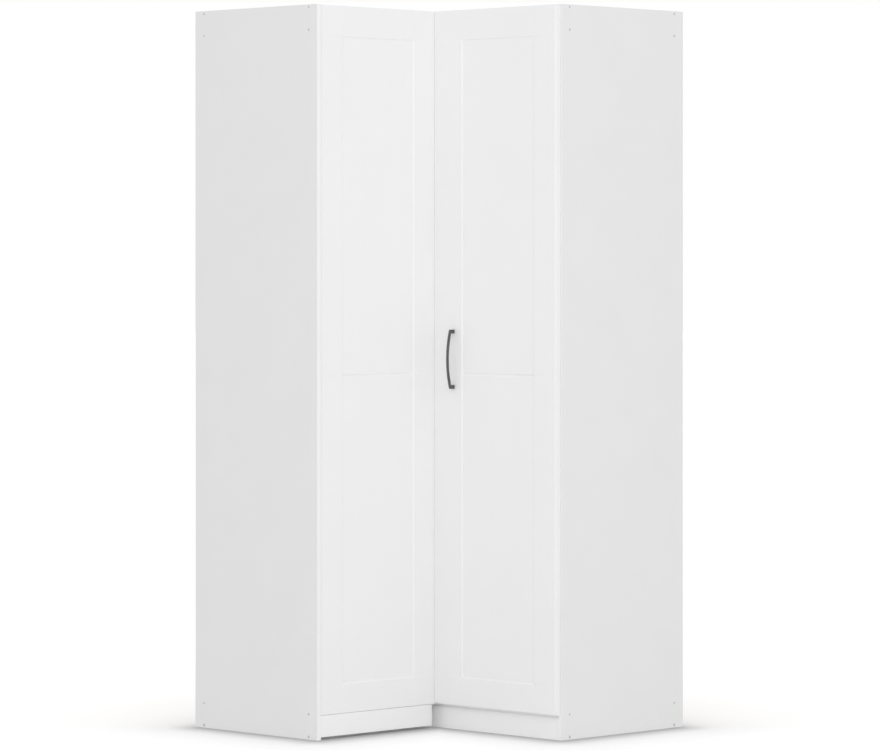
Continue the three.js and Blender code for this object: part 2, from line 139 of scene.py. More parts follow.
def shaded(material, tone, roughness, height, depth, metallic=0.0):
    """Ends a material with its shader. The full height of its bump is depth millimetres."""
    tree = material.node_tree
    normal = add_node(tree, "ShaderNodeBump", {"Height": height, "Distance": depth * MM})
    inputs = {"Base Color": tone, "Metallic": metallic, "Roughness": roughness, "Normal": normal}
    surface = add_node(tree, "ShaderNodeBsdfPrincipled", inputs)
    add_node(tree, "ShaderNodeOutputMaterial", {"Surface": surface})
    return material


def grain(tree, place, size, detail=2.0, stretch=(1.0, 1.0, 1.0)):
    """Noise with features about size millimetres across, and longer along the axes that stretch names."""
    scale = [1 / (size * s) for s in stretch]
    mapping = add_node(tree, "ShaderNodeMapping", {"Vector": place, "Scale": scale})
    return add_node(tree, "ShaderNodeTexNoise", {"Vector": mapping, "Scale": 1.0, "Detail": detail})


def ramp(tree, factor, stops):
    """A colour ramp from pairs of place and linear colour."""
    made = add_node(tree, "ShaderNodeValToRGB", {"Fac": factor})
    elements = made.color_ramp.elements
    while len(elements) < len(stops):
        elements.new(0.5)
    for element, (place, colour) in zip(elements, stops):
        element.position = place
        element.color = [*colour, 1.0]
    return made


def spread(tree, factor, low, high):
    """Maps a factor of 0 to 1 onto low to high."""
    return add_node(tree, "ShaderNodeMapRange", {"Value": factor, "To Min": low, "To Max": high})


def calculated(tree, operation, first, second):
    return add_node(tree, "ShaderNodeMath", {0: first, 1: second}, operation=operation)


def pale_coat(name, colour, darkest, rough, clouds, pits, detail, depth):
    """A pale coat whose tone drifts in clouds, down to its darkest share, and whose gloss is broken by pits.
    The sizes of clouds and pits and the pits' depth are in millimetres, and rough is a range."""
    material, tree, place = new_material(name)
    tone = ramp(tree, grain(tree, place, clouds), [(0.3, toned(colour, darkest)), (0.7, colour)])
    pitted = grain(tree, place, pits, detail)
    return shaded(material, tone, spread(tree, pitted, *rough), pitted, depth)


def make_melamine(name, colour):
    """Melamine-faced particle board: resin paper pressed against an embossed plate. It is an even white with
    a silky sheen, broken by pits that are drawn 3 mm wide, coarser than real, so that they show."""
    sizes = {"clouds": 160.0, "pits": 3.0, "detail": 3.0, "depth": 0.03}
    return pale_coat(name, colour, darkest=0.985, rough=(0.42, 0.54), **sizes)


def make_edging(name, colour):
    """Plastic edge band ironed on to the board, also round the plinths: the same white a little brighter, and
    glossier than melamine, with the plate's pits drawn 4 mm wide, coarser than real, so that they show."""
    sizes = {"clouds": 120.0, "pits": 4.0, "detail": 2.0, "depth": 0.02}
    return pale_coat(name, colour, darkest=0.985, rough=(0.36, 0.46), **sizes)


def make_film(name, colour):
    """Vinyl film drawn by vacuum over milled fibreboard: satin, and wavy like orange peel, which is drawn
    9 mm wide."""
    sizes = {"clouds": 220.0, "pits": 9.0, "detail": 1.0, "depth": 0.03}
    return pale_coat(name, colour, darkest=0.988, rough=(0.34, 0.42), **sizes)


def make_sawn_board(name, colour):
    """Particle board sawn across, with no edge band: pressed chips of light and dark wood, matt and rough."""
    material, tree, place = new_material(name)
    chips = add_node(tree, "ShaderNodeTexVoronoi", {"Vector": place, "Scale": 1 / 3.0})
    tone = add_node(tree, "ShaderNodeSeparateColor", {"Color": chips.outputs["Color"]})
    mixed = calculated(tree, "MULTIPLY", tone.outputs["Red"], grain(tree, place, 1.2, detail=4.0))
    stops = [(0.05, toned(colour, 0.45)), (0.3, toned(colour, 0.8)), (0.6, colour)]
    return shaded(material, ramp(tree, mixed, stops), roughness=0.85, height=mixed, depth=0.4)


def make_hardboard(name, colour):
    """Wet-pressed hardboard, bare on the wall side: brown matted fibres in soft patches, dull all over."""
    material, tree, place = new_material(name)
    fibres = grain(tree, place, 2.4, detail=5.0, stretch=(1.0, 1.0, 3.0))
    mixed = calculated(tree, "MULTIPLY", fibres, grain(tree, place, 90.0))
    tone = ramp(tree, mixed, [(0.1, toned(colour, 0.82)), (0.45, colour)])
    return shaded(material, tone, roughness=0.8, height=fibres, depth=0.2)


def make_plated(name, colour, roughness, stretch):
    """Plated or chromed metal: bright, with fine marks along the way it was drawn or pressed and dull
    smudges. The marks are 0.8 mm apart, coarser than real ones, so that they show."""
    material, tree, place = new_material(name)
    marks = grain(tree, place, 0.8, stretch=stretch)
    smudges = grain(tree, place, 14.0)
    tone = ramp(tree, smudges, [(0.3, toned(colour, 0.9)), (0.7, colour)])
    rough = spread(tree, calculated(tree, "MULTIPLY", marks, smudges), roughness, roughness + 0.3)
    return shaded(material, tone, rough, marks, depth=0.01, metallic=1.0)


def make_handle_coat(name, colour):
    """Zinc casting with a satin grey powder coat: dark, with a fine grain that is drawn 0.9 mm wide so that
    it shows, and brighter where hands rub it."""
    material, tree, place = new_material(name)
    powder = grain(tree, place, 0.9, detail=3.0)
    tone = ramp(tree, grain(tree, place, 18.0), [(0.35, colour), (0.7, toned(colour, 1.25))])
    rough = spread(tree, powder, 0.36, 0.5)
    return shaded(material, tone, rough, powder, depth=0.03, metallic=0.35)


# Each finish's material name and maker, the settings group and field of its colour, and the maker's other
# values.
FINISHES = {
    "melamine": ("white_melamine_board", make_melamine, "boards", "colour"),
    "edging": ("white_plastic_edge_band", make_edging, "boards", "edging"),
    "sawn": ("sawn_particle_board", make_sawn_board, "boards", "sawn"),
    "hardboard": ("bare_hardboard", make_hardboard, "boards", "hardboard"),
    "film": ("satin_film_on_fibreboard", make_film, "fronts", "colour"),
    "coat": ("satin_grey_powder_coat", make_handle_coat, "fittings", "handle_coat"),
    "nickel": ("nickel_plated_steel", make_plated, "fittings", "nickel", 0.22, (1.0, 1.0, 6.0)),
    "zinc": ("zinc_plated_steel", make_plated, "fittings", "zinc", 0.35, (1.0, 1.0, 1.0)),
    "chrome": ("chromed_steel_tube", make_plated, "fittings", "chrome", 0.08, (8.0, 8.0, 1.0)),
}


def finish(kind):
    """The material of this finish, made the first time it is asked for."""
    name, maker, group, field, *values = FINISHES[kind]
    settings = getattr(bpy.context.scene, f"wardrobe_{group}")
    return bpy.data.materials.get(name) or maker(name, getattr(settings, field), *values)


# Meshes


def narrowness(face):
    """About how wide a face is across its short way."""
    return face.calc_area() / max(edge.calc_length() for edge in face.edges)


def smooth_rounds(bm, widest):
    """Shades the rounds and slopes smooth, and leaves every face wider than this flat."""
    for face in bm.faces:
        face.smooth = narrowness(face) < widest


def sharp_edges(bm, shortest=0.0):
    """The sharp edges that are longer than this."""
    found = [edge for edge in bm.edges if edge.calc_length() > shortest]
    return [edge for edge in found if edge.calc_face_angle(0.0) > ROUNDED_ANGLE]


def round_edges(bm, edges, radius, segments=2):
    bmesh.ops.bevel(
        bm,
        geom=edges,
        offset=radius,
        offset_type="OFFSET",
        segments=segments,
        profile=0.5,
        affect="EDGES",
        clamp_overlap=True,
    )


def softened(node, radius, shortest):
    """A copy of a CAD node with its flat faces made whole and its sharp edges of some length rounded."""
    bm = bmesh.new()
    bm.from_mesh(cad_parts[node].data)
    bmesh.ops.remove_doubles(bm, verts=bm.verts, dist=WELD_DISTANCE)
    bmesh.ops.dissolve_limit(bm, angle_limit=FLAT_ANGLE, verts=bm.verts, edges=bm.edges)
    round_edges(bm, sharp_edges(bm, shortest), radius)
    return bm


def add_block(bm, low, high, radius):
    """A box with rounded edges, from its low and high corners."""
    size = [h - l for l, h in zip(low, high)]
    middle = [(h + l) / 2 for l, h in zip(low, high)]
    matrix = Matrix.Translation(middle) @ Matrix.Diagonal((*size, 1.0))
    made = bmesh.ops.create_cube(bm, size=1.0, matrix=matrix)["verts"]
    round_edges(bm, list({edge for vert in made for edge in vert.link_edges}), radius)


def add_bore(bm, centre, radius, depth):
    """A cylinder along Y, to be cut out of something."""
    matrix = Matrix.Translation(centre) @ Matrix.Rotation(QUARTER_TURN, 4, "X")
    sizes = {"segments": ROUND_SIDES, "radius1": radius, "radius2": radius, "depth": depth}
    bmesh.ops.create_cone(bm, cap_ends=True, matrix=matrix, **sizes)


def join_rings(bm, rings):
    """Faces between each ring of points and the next one."""
    faces = []
    for here, after in zip(rings, rings[1:]):
        for i in range(len(here)):
            k = (i + 1) % len(here)
            faces.append(bm.faces.new((here[i], after[i], after[k], here[k])))
    return faces


def add_turned(bm, profile, matrix):
    """A turned ring about its own Z axis, from the closed outline of points of radius and height."""
    rings = []
    for i in range(ROUND_SIDES):
        angle = 2 * math.pi * i / ROUND_SIDES
        points = [matrix @ Vector((r * math.cos(angle), r * math.sin(angle), h)) for r, h in profile]
        rings.append([bm.verts.new(point) for point in points])
    bmesh.ops.recalc_face_normals(bm, faces=join_rings(bm, [*rings, rings[0]]))


def to_mesh(bm, name, finishes=()):
    """A mesh with the finishes of these names, of a bm that is done with."""
    mesh = bpy.data.meshes.new(name)
    bm.to_mesh(mesh)
    bm.free()
    for kind in finishes:
        mesh.materials.append(finish(kind))
    return mesh


def smooth_mesh(bm, name, kind, angle):
    """A mesh of one finish that is shaded smooth all over, but for its edges above an angle."""
    for face in bm.faces:
        face.smooth = True
    mesh = to_mesh(bm, name, [kind])
    mesh.set_sharp_from_angle(angle=angle)
    return mesh


def add_object(name, data):
    made = bpy.data.objects.new(name, data)
    bpy.context.scene.collection.objects.link(made)
    return made


def add_piece(mesh, name, body, stands_for=()):
    """Puts a finished mesh in the scene as a piece that rides on a body and stands for CAD nodes."""
    mesh.name = name
    piece = add_object(name, mesh)
    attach(piece, body)
    if stands_for:
        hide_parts(*stands_for)


def evaluated(name, data, prepare):
    """A plain mesh from an object of this data, after prepare has put a modifier on it."""
    source = add_object(name, data)
    prepare(source)
    bpy.context.view_layer.update()
    graph = bpy.context.evaluated_depsgraph_get()
    mesh = bpy.data.meshes.new_from_object(source.evaluated_get(graph), depsgraph=graph)
    bpy.data.objects.remove(source)
    return mesh


def carved(bm, cutters, name, finishes=()):
    """The mesh of bm with each cutter's solid taken out of it."""
    cutter = add_object("cutter", to_mesh(cutters, "cutter"))

    def cut(source):
        modifier = source.modifiers.new("cut", "BOOLEAN")
        modifier.operation = "DIFFERENCE"
        modifier.solver = "EXACT"
        modifier.object = cutter

    mesh = evaluated(name, to_mesh(bm, name, finishes), cut)
    bpy.data.objects.remove(cutter)
    return mesh


# Geometry Nodes trees


def new_tree(name, inputs):
    """A Geometry Nodes tree with a Geometry input and output and the named inputs of the given kinds."""
    tree = bpy.data.node_groups.new(name, "GeometryNodeTree")
    tree.interface.new_socket("Geometry", in_out="INPUT", socket_type="NodeSocketGeometry")
    for label, kind, value in inputs:
        socket = tree.interface.new_socket(label, in_out="INPUT", socket_type=f"NodeSocket{kind}")
        if value is not None:
            socket.default_value = value
    tree.interface.new_socket("Geometry", in_out="OUTPUT", socket_type="NodeSocketGeometry")
    return tree, add_node(tree, "NodeGroupInput").outputs


def end_tree(tree, start, instances):
    """Realizes the instances and gives them the Material input."""
    real = add_node(tree, "GeometryNodeRealizeInstances", {"Geometry": instances})
    painted = add_node(tree, "GeometryNodeSetMaterial", {"Geometry": real, "Material": start["Material"]})
    add_node(tree, "NodeGroupOutput", {"Geometry": painted})
    return tree


def make_fastener_tree(name):
    """Puts a headed fastener with a sunk drive on every point, with its head along the point's facing."""
    sizes = [
        ("Head Radius", "Float", 3.5 * MM),
        ("Head Depth", "Float", 3.0 * MM),
        ("Head Sides", "Int", 24),
        ("Drive Radius", "Float", 2.0 * MM),
        ("Drive Depth", "Float", 2.0 * MM),
        ("Drive Sides", "Int", 6),
        ("Material", "Material", None),
    ]
    tree, start = new_tree(name, sizes)

    def cylinder(part, depth):
        inputs = {"Vertices": start[f"{part} Sides"], "Radius": start[f"{part} Radius"], "Depth": depth}
        return add_node(tree, "GeometryNodeMeshCylinder", inputs)

    head = cylinder("Head", start["Head Depth"])
    drive = cylinder("Drive", calculated(tree, "MULTIPLY", start["Drive Depth"], 2.0))
    half = calculated(tree, "MULTIPLY", start["Head Depth"], 0.5)
    top = add_node(tree, "ShaderNodeCombineXYZ", {"Z": half})
    placed = add_node(tree, "GeometryNodeTransform", {"Geometry": drive, "Translation": top})
    inputs = {"Mesh 1": head, "Mesh 2": placed}
    sunk = add_node(tree, "GeometryNodeMeshBoolean", inputs, operation="DIFFERENCE")
    inputs = {"Name": "facing"}
    facing = add_node(tree, "GeometryNodeInputNamedAttribute", inputs, data_type="FLOAT_VECTOR")
    turn = add_node(tree, "FunctionNodeAlignRotationToVector", {"Vector": facing}, axis="Z")
    inputs = {"Points": start["Geometry"], "Instance": sunk, "Rotation": turn}
    return end_tree(tree, start, add_node(tree, "GeometryNodeInstanceOnPoints", inputs))


def make_row_tree(name):
    """Repeats a piece straight up, as many times and as far apart as its inputs say."""
    sizes = [("Count", "Int", len(LEVELS)), ("Pitch", "Float", 800 * MM), ("Material", "Material", None)]
    tree, start = new_tree(name, sizes)
    step = add_node(tree, "ShaderNodeCombineXYZ", {"Z": start["Pitch"]})
    inputs = {"Count": start["Count"], "Offset": step}
    line = add_node(tree, "GeometryNodeMeshLine", inputs, mode="OFFSET")
    inputs = {"Points": line, "Instance": start["Geometry"]}
    return end_tree(tree, start, add_node(tree, "GeometryNodeInstanceOnPoints", inputs))


def make_tube_tree(name):
    """A round bar of the given radius along the object's own curve, closed at both ends."""
    sizes = [("Radius", "Float", 12.5 * MM), ("Sides", "Int", 32), ("Material", "Material", None)]
    tree, start = new_tree(name, sizes)
    inputs = {"Radius": start["Radius"], "Resolution": start["Sides"]}
    ring = add_node(tree, "GeometryNodeCurvePrimitiveCircle", inputs)
    inputs = {"Curve": start["Geometry"], "Profile Curve": ring, "Fill Caps": True}
    return end_tree(tree, start, add_node(tree, "GeometryNodeCurveToMesh", inputs))


TREES = {"fasteners": make_fastener_tree, "row_of_fittings": make_row_tree, "tube_on_path": make_tube_tree}


def grow(name, data, kind, values):
    """A plain mesh of what a kind of tree makes of an object's data, with the tree's inputs set by name."""
    tree = bpy.data.node_groups.get(kind) or TREES[kind](kind)

    def set_inputs(target):
        modifier = target.modifiers.new("grow", "NODES")
        modifier.node_group = tree
        sockets = [item for item in tree.interface.items_tree if item.item_type == "SOCKET"]
        keys = {socket.name: socket.identifier for socket in sockets if socket.in_out == "INPUT"}
        for label, value in values.items():
            modifier[keys[label]] = value

    mesh = evaluated(name, data, set_inputs)
    mesh.set_sharp_from_angle(angle=CRISP_ANGLE)
    return mesh


def grow_fasteners(name, body, places, stands_for=(), **values):
    """Fasteners at places, given as pairs of the middle of the head and the way that it faces. The values
    are the tree's inputs, in millimetres but for the numbers of sides."""
    mesh = bpy.data.meshes.new(name)
    mesh.from_pydata([point for point, facing in places], [], [])
    attribute = mesh.attributes.new("facing", "FLOAT_VECTOR", "POINT")
    for item, (point, facing) in zip(attribute.data, places):
        item.vector = facing
    inputs = {"Material": finish("zinc")}
    for label, value in values.items():
        inputs[label.replace("_", " ").title()] = value if label.endswith("sides") else value * MM
    add_piece(grow(name, mesh, "fasteners", inputs), name, body, stands_for)


def grow_row(bm, name):
    """The mesh of a hinge's piece at its lowest place, repeated at each hinge height."""
    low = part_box("hinge_cup_lower")[0].z
    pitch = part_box("hinge_cup_middle")[0].z - low
    return grow(name, to_mesh(bm, name), "row_of_fittings", {"Material": finish("nickel"), "Pitch": pitch})


# Settings


def length(name, description, default):
    return FloatProperty(name=name, description=description, default=default * MM, min=0.0, unit="LENGTH")


def number(name, description, default):
    return FloatProperty(name=name, description=description, default=default, min=0.0)


def tint(name, description, code):
    return FloatVectorProperty(
        name=name, description=description, default=linear(code), min=0.0, max=1.0, size=3, subtype="COLOR"
    )


class BoardSettings(bpy.types.PropertyGroup):
    edge_radius: length("Edge radius", "Rounding of the boards' edges", 0.5)
    back_edge_radius: length("Back panel edge", "Rounding of the thin back panels' edges", 0.3)
    pin_pitch: length("Pin pitch", "Distance between the back panels' pins", 155.0)
    colour: tint("Board colour", "Melamine face of the boards", "EEEEEE")
    edging: tint("Edging colour", "Edge band of the side panels, and the plinths", "F8F8F8")
    sawn: tint("Sawn colour", "Lightest chips of the bare edges", "DCC59C")
    hardboard: tint("Hardboard colour", "Wall side of the back panels", "B99B76")


class FrontSettings(bpy.types.PropertyGroup):
    door_radius: length("Door edge radius", "Rounding of the door's front edges", 6.0)
    fixed_radius: length("Fixed front radius", "Rounding of the fixed front's edges", 0.6)
    corner_radius: length("Corner edge radius", "Rounding of the door's front edge in the corner", 0.8)
    back_radius: length("Back edge radius", "Rounding of the back edges of both", 0.3)
    flatness: number("Flatness", "Depth of a front edge's rounding over its width", 0.45)
    steps: IntProperty(name="Steps", description="Segments of each rounded front edge", default=6, min=1)
    side_reach: length("Side reach", "How far the fixed front fills the gap beside the side panel", 1.3)
    foot_reach: length("Foot reach", "How far the fixed front fills the gap above its plinth", 0.7)
    door_reach: length("Door reach", "How far the door fills the gaps in the corner and behind it", 0.5)
    fixed_stile: length("Fixed stile", "From the fixed front's outer end to its field", 80.0)
    door_stile: length("Door stile", "From the door's outer end to its field", 85.0)
    field_width: length("Field width", "Width of the sunk field of either front", 289.0)
    bottom_rail: length("Bottom rail", "From a front's foot up to its field", 81.0)
    top_rail: length("Top rail", "From a front's head down to its field", 85.0)
    field_depth: length("Field depth", "How deep the framed field is sunk", 2.4)
    field_slope: length("Field slope", "Width of the slope round the field", 4.0)
    groove_height: length("Groove height", "From a front's foot up to the cross groove", 958.0)
    groove_half: length("Groove half width", "Half the width of the cross groove", 3.5)
    groove_depth: length("Groove depth", "Depth of the cross groove below the field", 2.0)
    colour: tint("Film colour", "Film on the door and the fixed front", "F6F6F6")


class FittingSettings(bpy.types.PropertyGroup):
    handle_foot: length("Handle foot", "Height of each foot of the bow handle", 11.0)
    handle_strap: length("Handle strap", "Thickness of the bow handle at its middle", 4.5)
    handle_lift: length("Handle lift", "How far the bow handle stands out at its ends", 15.7)
    handle_edge: length("Handle edge radius", "Rounding of the bow handle's edges", 1.4)
    link_thickness: length("Link thickness", "Sheet thickness of the hinges' moving links", 1.4)
    link_height: length("Link height", "Height of each moving link", 3.4)
    rail_bend: length("Rail bend", "Radius of the clothes rail's bend", 100.0)
    handle_coat: tint("Handle coat", "Powder coat of the bow handle", "55575A")
    nickel: tint("Nickel", "Plating of the hinges", "CFCBC3")
    zinc: tint("Zinc", "Plating of the screws", "DADCDE")
    chrome: tint("Chrome", "Plating of the clothes rail", "D4D6D8")


class StageSettings(bpy.types.PropertyGroup):
    floor_reach: length("Floor reach", "Half the width of the floor", 60000.0)
    camera_azimuth: number("Azimuth", "View angle in degrees", 44.962)
    focal_pixels: number("Focal length", "In pixels of the photograph", 4177.9)
    horizon_row: number("Horizon", "The horizon's row in the photograph", 271.6)
    camera_x: length("Camera X", "Camera place along X", 8591.0)
    camera_y: length("Camera distance along Y", "Camera place along Y, before the wardrobe", 8599.0)
    camera_z: length("Camera height", "Height of the camera", 1324.0)
    sky: number("Sky", "Strength of the even light from all round", 0.775)
    key: number("Key", "Strength of the front light, in watts", 90.0)
    fill: number("Fill", "Strength of the side light, in watts", 39.0)


# Pieces


def assign_edges(bm, node):
    """Gives a board's edges at the wall and the floor the second material and its front edges the third."""
    low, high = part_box(node)
    sides = high - low
    thin = min(range(3), key=lambda axis: sides[axis])
    for face in bm.faces:
        x, y, z = face.normal
        if abs(face.normal[thin]) < ACROSS:
            if max(-x, y, -z) > ALONG:
                face.material_index = 1
            elif max(x, -y) > ALONG:
                face.material_index = 2


def make_board(node):
    settings = bpy.context.scene.wardrobe_boards
    bm = softened(node, settings.edge_radius, SHORTEST_BOARD_EDGE)
    finishes = ["edging" if node in PLINTHS else "melamine"]
    if node in SAWN:
        assign_edges(bm, node)
        finishes += ["sawn", "edging"]
    smooth_rounds(bm, widest=2 * MM)
    add_piece(to_mesh(bm, node, finishes), f"{node}_faced", CARCASS, [node])


class MakeSidePanels(bpy.types.Operator):
    """Makes both side panels, with banded front edges and bare sawn ones at the wall and the floor"""

    bl_idname = "wardrobe.make_side_panels"
    bl_label = "Side panels"

    def execute(self, context):
        for node in SIDE_PANELS:
            make_board(node)
        return {"FINISHED"}


class MakeBoards(bpy.types.Operator):
    """Makes the top, bottom, hat shelf, rails, posts, battens and the left plinth's packing"""

    bl_idname = "wardrobe.make_boards"
    bl_label = "Boards, rails and posts"

    def execute(self, context):
        for node in BOARDS:
            make_board(node)
        return {"FINISHED"}


class MakePlinths(bpy.types.Operator):
    """Makes the raised left plinth and the right one that stands on the floor"""

    bl_idname = "wardrobe.make_plinths"
    bl_label = "Plinths"

    def execute(self, context):
        for node in PLINTHS:
            make_board(node)
        return {"FINISHED"}


class MakeBackPanels(bpy.types.Operator):
    """Makes both back panels, white inside and bare hardboard outside, and the pins that hold them"""

    bl_idname = "wardrobe.make_back_panels"
    bl_label = "Back panels"

    def execute(self, context):
        settings = context.scene.wardrobe_boards
        walls = {"left_back_panel": Vector((-1, 0, 0)), "right_back_panel": Vector((0, 1, 0))}
        for node, outwards in walls.items():
            bm = softened(node, settings.back_edge_radius, SHORTEST_BOARD_EDGE)
            for face in bm.faces:
                at_wall = face.normal.dot(outwards) > MOSTLY
                face.material_index = int(at_wall)
            smooth_rounds(bm, widest=1 * MM)
            mesh = to_mesh(bm, node, ["melamine", "hardboard"])
            add_piece(mesh, f"{node}_faced", CARCASS, [node])
        self.add_pins(settings.pin_pitch)
        return {"FINISHED"}

    def add_pins(self, pitch):
        """Pins into the bottom board and the hat shelf, and down the square post."""
        rows = [sum(v.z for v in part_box(node)) / 2 for node in ("bottom_board", "hat_shelf")]
        low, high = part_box("bottom_board")
        outer_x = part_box("left_back_panel")[0].x
        outer_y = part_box("right_back_panel")[1].y
        post = sum(v.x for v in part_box("rear_corner_post")) / 2
        across = int((high.x - low.x) / pitch)
        places = []
        for i in range(1, across):
            step = (high.x - low.x) * i / across
            places += [((outer_x, low.y + step, z), (-1, 0, 0)) for z in rows]
            places += [((low.x + step, outer_y, z), (0, 1, 0)) for z in rows]
        up = int((rows[1] - rows[0]) / pitch)
        for i in range(1, up):
            z = rows[0] + (rows[1] - rows[0]) * i / up
            places += [((outer_x, -post, z), (-1, 0, 0)), ((post, outer_y, z), (0, 1, 0))]
        head = {"head_radius": 1.6, "head_depth": 0.8, "head_sides": 10}
        dimple = {"drive_radius": 0.4, "drive_depth": 0.1, "drive_sides": 4}
        grow_fasteners("back_panel_pins", CARCASS, places, **head, **dimple)


def eased(share):
    """Goes smoothly from 0 to 1 as the share does."""
    share = min(1.0, max(0.0, share))
    return share * share * (3 - 2 * share)


def leaf_box(node, settings):
    """A front's CAD box, let out by a little into the gaps beside it, which the photograph shows closed."""
    low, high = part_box(node)
    if node == "left_front":
        low -= Vector((0, settings.side_reach, settings.foot_reach))
    else:
        low.x -= settings.door_reach
        high.y += settings.door_reach
    return low, high


def leaf_frame(node, low, high):
    """From distance across a front from its outer end, depth behind its face, and height."""
    if node == "left_front":
        return Matrix(((0, -1, 0, high.x), (1, 0, 0, low.y), (0, 0, 1, 0), (0, 0, 0, 1)))
    return Matrix(((-1, 0, 0, high.x), (0, 1, 0, low.y), (0, 0, 1, 0), (0, 0, 0, 1)))


def framed_leaf(node, stile, radii, settings):
    """A door or fixed front: a grid for its face with the sunk field and cross groove, rounded sides, and a
    flat back. The radii are those of its front edges, at its outer end, inner end, foot and head."""
    low, high = leaf_box(node, settings)
    wide = high.y - low.y if node == "left_front" else high.x - low.x
    thick = high.x - low.x if node == "left_front" else high.y - low.y
    left, right = stile, stile + settings.field_width
    foot, head = low.z + settings.bottom_rail, high.z - settings.top_rail
    middle = low.z + settings.groove_height
    slope, soft, turn_in = settings.field_slope, 0.5 * MM, 6 * MM
    half = settings.groove_half + soft

    def depth_at(u, z):
        inward = min(u - left, right - u, z - foot, head - z)
        depth = settings.field_depth * eased((inward + soft) / (slope + 2 * soft))
        ends = eased((min(u - left, right - u) - slope / 2) / slope)
        return depth + settings.groove_depth * eased(1 - abs(z - middle) / half) * ends

    inset = [-soft, *(slope * share for share in (0.12, 0.3, 0.5, 0.7, 0.88)), slope + soft, slope * 1.5]
    starts = (radii[0], low.z + radii[2])
    ends = (wide - radii[1], high.z - radii[3])
    lines_u = [starts[0], starts[0] + turn_in, *(left + d for d in inset)]
    lines_u += [*(right - d for d in reversed(inset)), ends[0] - turn_in, ends[0]]
    lines_z = [starts[1], starts[1] + turn_in, *(foot + d for d in inset)]
    lines_z += [middle + half * s for s in (-1, -0.75, -0.5, -0.25, 0, 0.25, 0.5, 0.75, 1)]
    lines_z += [*(head - d for d in reversed(inset)), ends[1] - turn_in, ends[1]]

    bm = bmesh.new()
    grid = [[bm.verts.new((u, depth_at(u, z), z)) for u in lines_u] for z in lines_z]
    for low_row, high_row in zip(grid, grid[1:]):
        for corners in zip(low_row, low_row[1:], high_row[1:], high_row):
            add_cell(bm, corners, depth_at)

    def moved(radius, at_front, turn):
        """How far out and how deep an edge of this radius has come."""
        if at_front:
            return radius * math.sin(turn), radius * settings.flatness * (1 - math.cos(turn))
        inwards = settings.back_radius * (1 - math.cos(turn))
        return radius - inwards, thick - settings.back_radius * (1 - math.sin(turn))

    def ring_point(u, z, at_front, turn):
        place, depths = [u, z], []
        for axis in (0, 1):
            for side, (bound, sign) in enumerate(((starts, -1), (ends, 1))):
                if place[axis] == bound[axis]:
                    out, depth = moved(radii[2 * axis + side], at_front, turn)
                    place[axis] += sign * out
                    depths.append(depth)
                    break
        return bm.verts.new((place[0], max(depths), place[1]))

    steps = settings.steps
    turns = [(True, QUARTER_TURN * k / steps) for k in range(1, steps + 1)]
    turns += [(False, QUARTER_TURN * k / 2) for k in range(3)]
    round_grid = [(0, i) for i in range(len(lines_u))] + [(j, -1) for j in range(1, len(lines_z))]
    round_grid += [(-1, i) for i in reversed(range(len(lines_u) - 1))]
    round_grid += [(j, 0) for j in reversed(range(1, len(lines_z) - 1))]
    rings = [[grid[j][i] for j, i in round_grid]]
    for at_front, turn in turns:
        rings.append([ring_point(lines_u[i], lines_z[j], at_front, turn) for j, i in round_grid])
    join_rings(bm, rings)
    bm.faces.new(rings[-1])
    bm.transform(leaf_frame(node, low, high))
    bmesh.ops.recalc_face_normals(bm, faces=bm.faces)
    smooth_rounds(bm, widest=3 * MM)
    return bm


def add_cell(bm, corners, depth_at):
    """One cell of a front's grid: a flat face, or two that fold along the diagonal nearer to its depth."""
    a, b, c, d = corners
    true = depth_at((a.co.x + c.co.x) / 2, (a.co.z + c.co.z) / 2)
    rising = abs((a.co.y + c.co.y) / 2 - true)
    falling = abs((b.co.y + d.co.y) / 2 - true)
    if max(rising, falling) < FLAT_CELL:
        faces = [(a, b, c, d)]
    elif rising < falling:
        faces = [(a, b, c), (a, c, d)]
    else:
        faces = [(a, b, d), (b, c, d)]
    for face in faces:
        bm.faces.new(face)


class MakeFronts(bpy.types.Operator):
    """Makes the fixed front and the door, with their sunk fields, cross grooves and the hinge bores"""

    bl_idname = "wardrobe.make_fronts"
    bl_label = "Door and fixed front"

    def execute(self, context):
        settings = context.scene.wardrobe_fronts
        stile = settings.fixed_stile + settings.side_reach
        fixed = framed_leaf("left_front", stile, [settings.fixed_radius] * 4, settings)
        mesh = to_mesh(fixed, "left_front", ["film"])
        add_piece(mesh, "left_front_filmed", CARCASS, ["left_front"])
        outer = settings.door_radius
        radii = [outer, settings.corner_radius, outer, outer]
        door = framed_leaf("right_door", settings.door_stile, radii, settings)
        mesh = carved(door, self.hinge_bores(), "right_door", ["film"])
        add_piece(mesh, "right_door_filmed", DOOR, ["right_door"])
        return {"FINISHED"}

    def hinge_bores(self):
        """Cylinders with a little play round each hinge cup and under it, that reach past the door's back."""
        side_play, end_play, depth = 0.3 * MM, 0.5 * MM, 20 * MM
        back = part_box("right_door")[1].y
        bores = bmesh.new()
        for level in LEVELS:
            low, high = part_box(f"hinge_cup_{level}")
            start = low.y - end_play
            if start + depth < back:
                raise RuntimeError("a hinge bore doesn't reach the door's back")
            centre = ((low.x + high.x) / 2, start + depth / 2, (low.z + high.z) / 2)
            add_bore(bores, centre, (high.x - low.x) / 2 + side_play, depth)
        return bores


